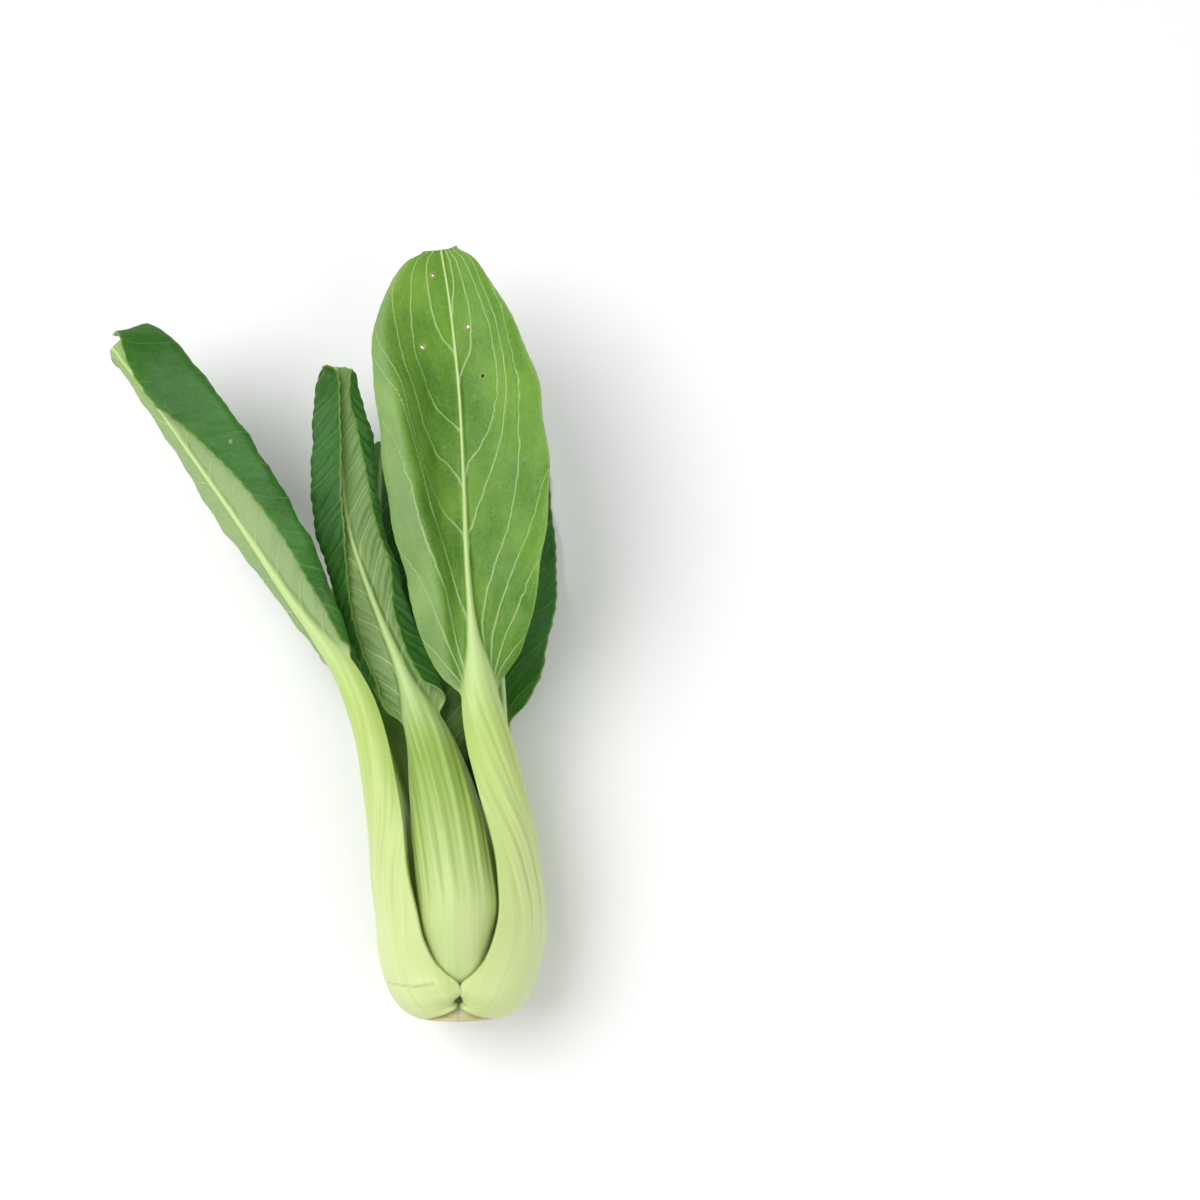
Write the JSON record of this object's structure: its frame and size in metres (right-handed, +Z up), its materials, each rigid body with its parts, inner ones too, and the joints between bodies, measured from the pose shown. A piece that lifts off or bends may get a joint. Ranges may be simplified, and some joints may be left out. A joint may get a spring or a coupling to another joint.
{
  "type": "bok choy",
  "caption": "Head of bok choy lying on its side: thick pale stalks clasp round a short cut stem and open into green ribbed leaf blades.",
  "frame": {"origin": "the flat spot under the bulb where the lying head rests on the ground", "axes": "+Z up, +Y along the head from the cut stem to the leaf tips, +X to the right seen from the stem with +Z up"},
  "size_m": [0.1338, 0.2294, 0.0617],
  "materials": {
    "cut_stem": "matte cut plant tissue, cream with a tan rim",
    "outer_leaf": "satin leaf, pale yellow-green stalk and green blade",
    "heart_leaf": "satin young leaf, pale green stalk and darker blade"
  },
  "bodies": {
    "root": {"stem": "cut_stem", "leaf_front_right": "outer_leaf", "leaf_front_left": "outer_leaf", "leaf_front_middle": "outer_leaf", "leaf_back_right": "outer_leaf", "leaf_back_left": "outer_leaf", "leaf_heart_right": "heart_leaf", "leaf_heart_left": "heart_leaf", "leaf_heart_back": "heart_leaf"}
  },
  "joints": []
}
